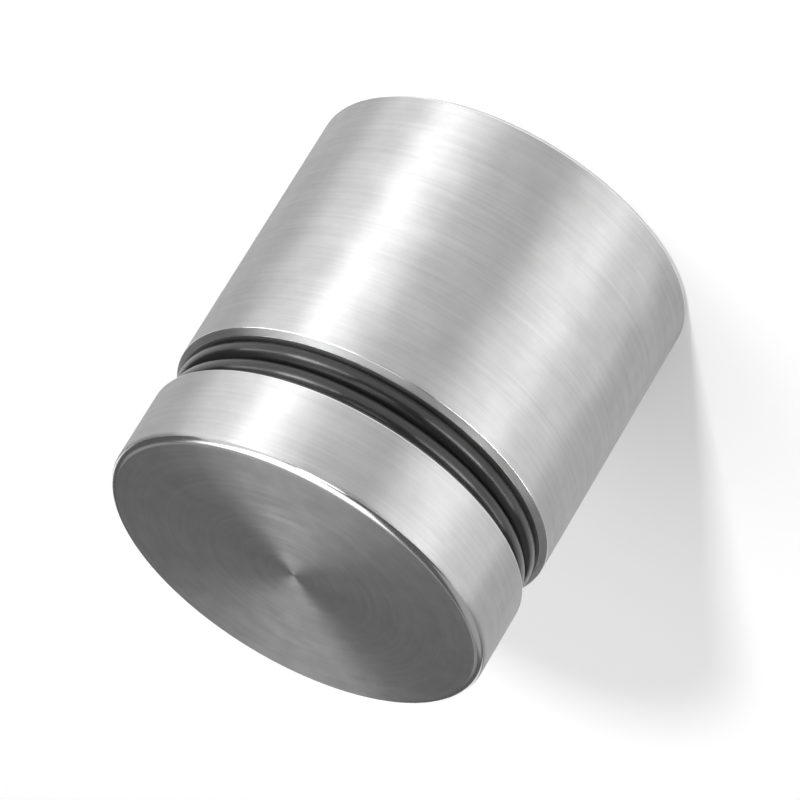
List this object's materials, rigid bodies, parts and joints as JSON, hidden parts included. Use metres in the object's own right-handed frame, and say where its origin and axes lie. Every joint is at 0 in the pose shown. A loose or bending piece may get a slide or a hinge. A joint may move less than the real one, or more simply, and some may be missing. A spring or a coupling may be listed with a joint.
{
  "type": "glass panel standoff",
  "caption": "Round metal wall standoff: a drilled barrel screwed to the wall and a disc cap on a central threaded stud clamp a glass panel between soft washers.",
  "frame": {"origin": "centre of the barrel's wall face, on the standoff's axis", "axes": "+Z along the axis from the wall to the cap; the part is round, so X and Y are free"},
  "size_m": [0.025, 0.025, 0.0272],
  "materials": {
    "satin_steel": "fine satin, turned round the axis",
    "threaded_steel": "rolled thread, bright",
    "washer_plastic": "smooth soft moulding"
  },
  "bodies": {
    "wall_side": {"barrel": "satin_steel", "barrel_gasket": "washer_plastic"},
    "panel_side": {"cap_gasket": "washer_plastic"},
    "cap_side": {"cap": "satin_steel", "threaded_stud": "threaded_steel"}
  },
  "joints": [
    {"name": "cap_travel", "type": "slide", "parent": "wall_side", "child": "panel_side", "axis": [0, 0, 1], "range_m": [0, 0.01135]},
    {"name": "cap_turn", "type": "hinge", "parent": "panel_side", "child": "cap_side", "pos_m": [0, 0, 0.0217], "axis": [0, 0, 1], "range_deg": [0, 2700]}
  ],
  "couplings": [
    {"joint": "cap_travel", "follows": "cap_turn", "m_per_rad": 0.00023873}
  ]
}
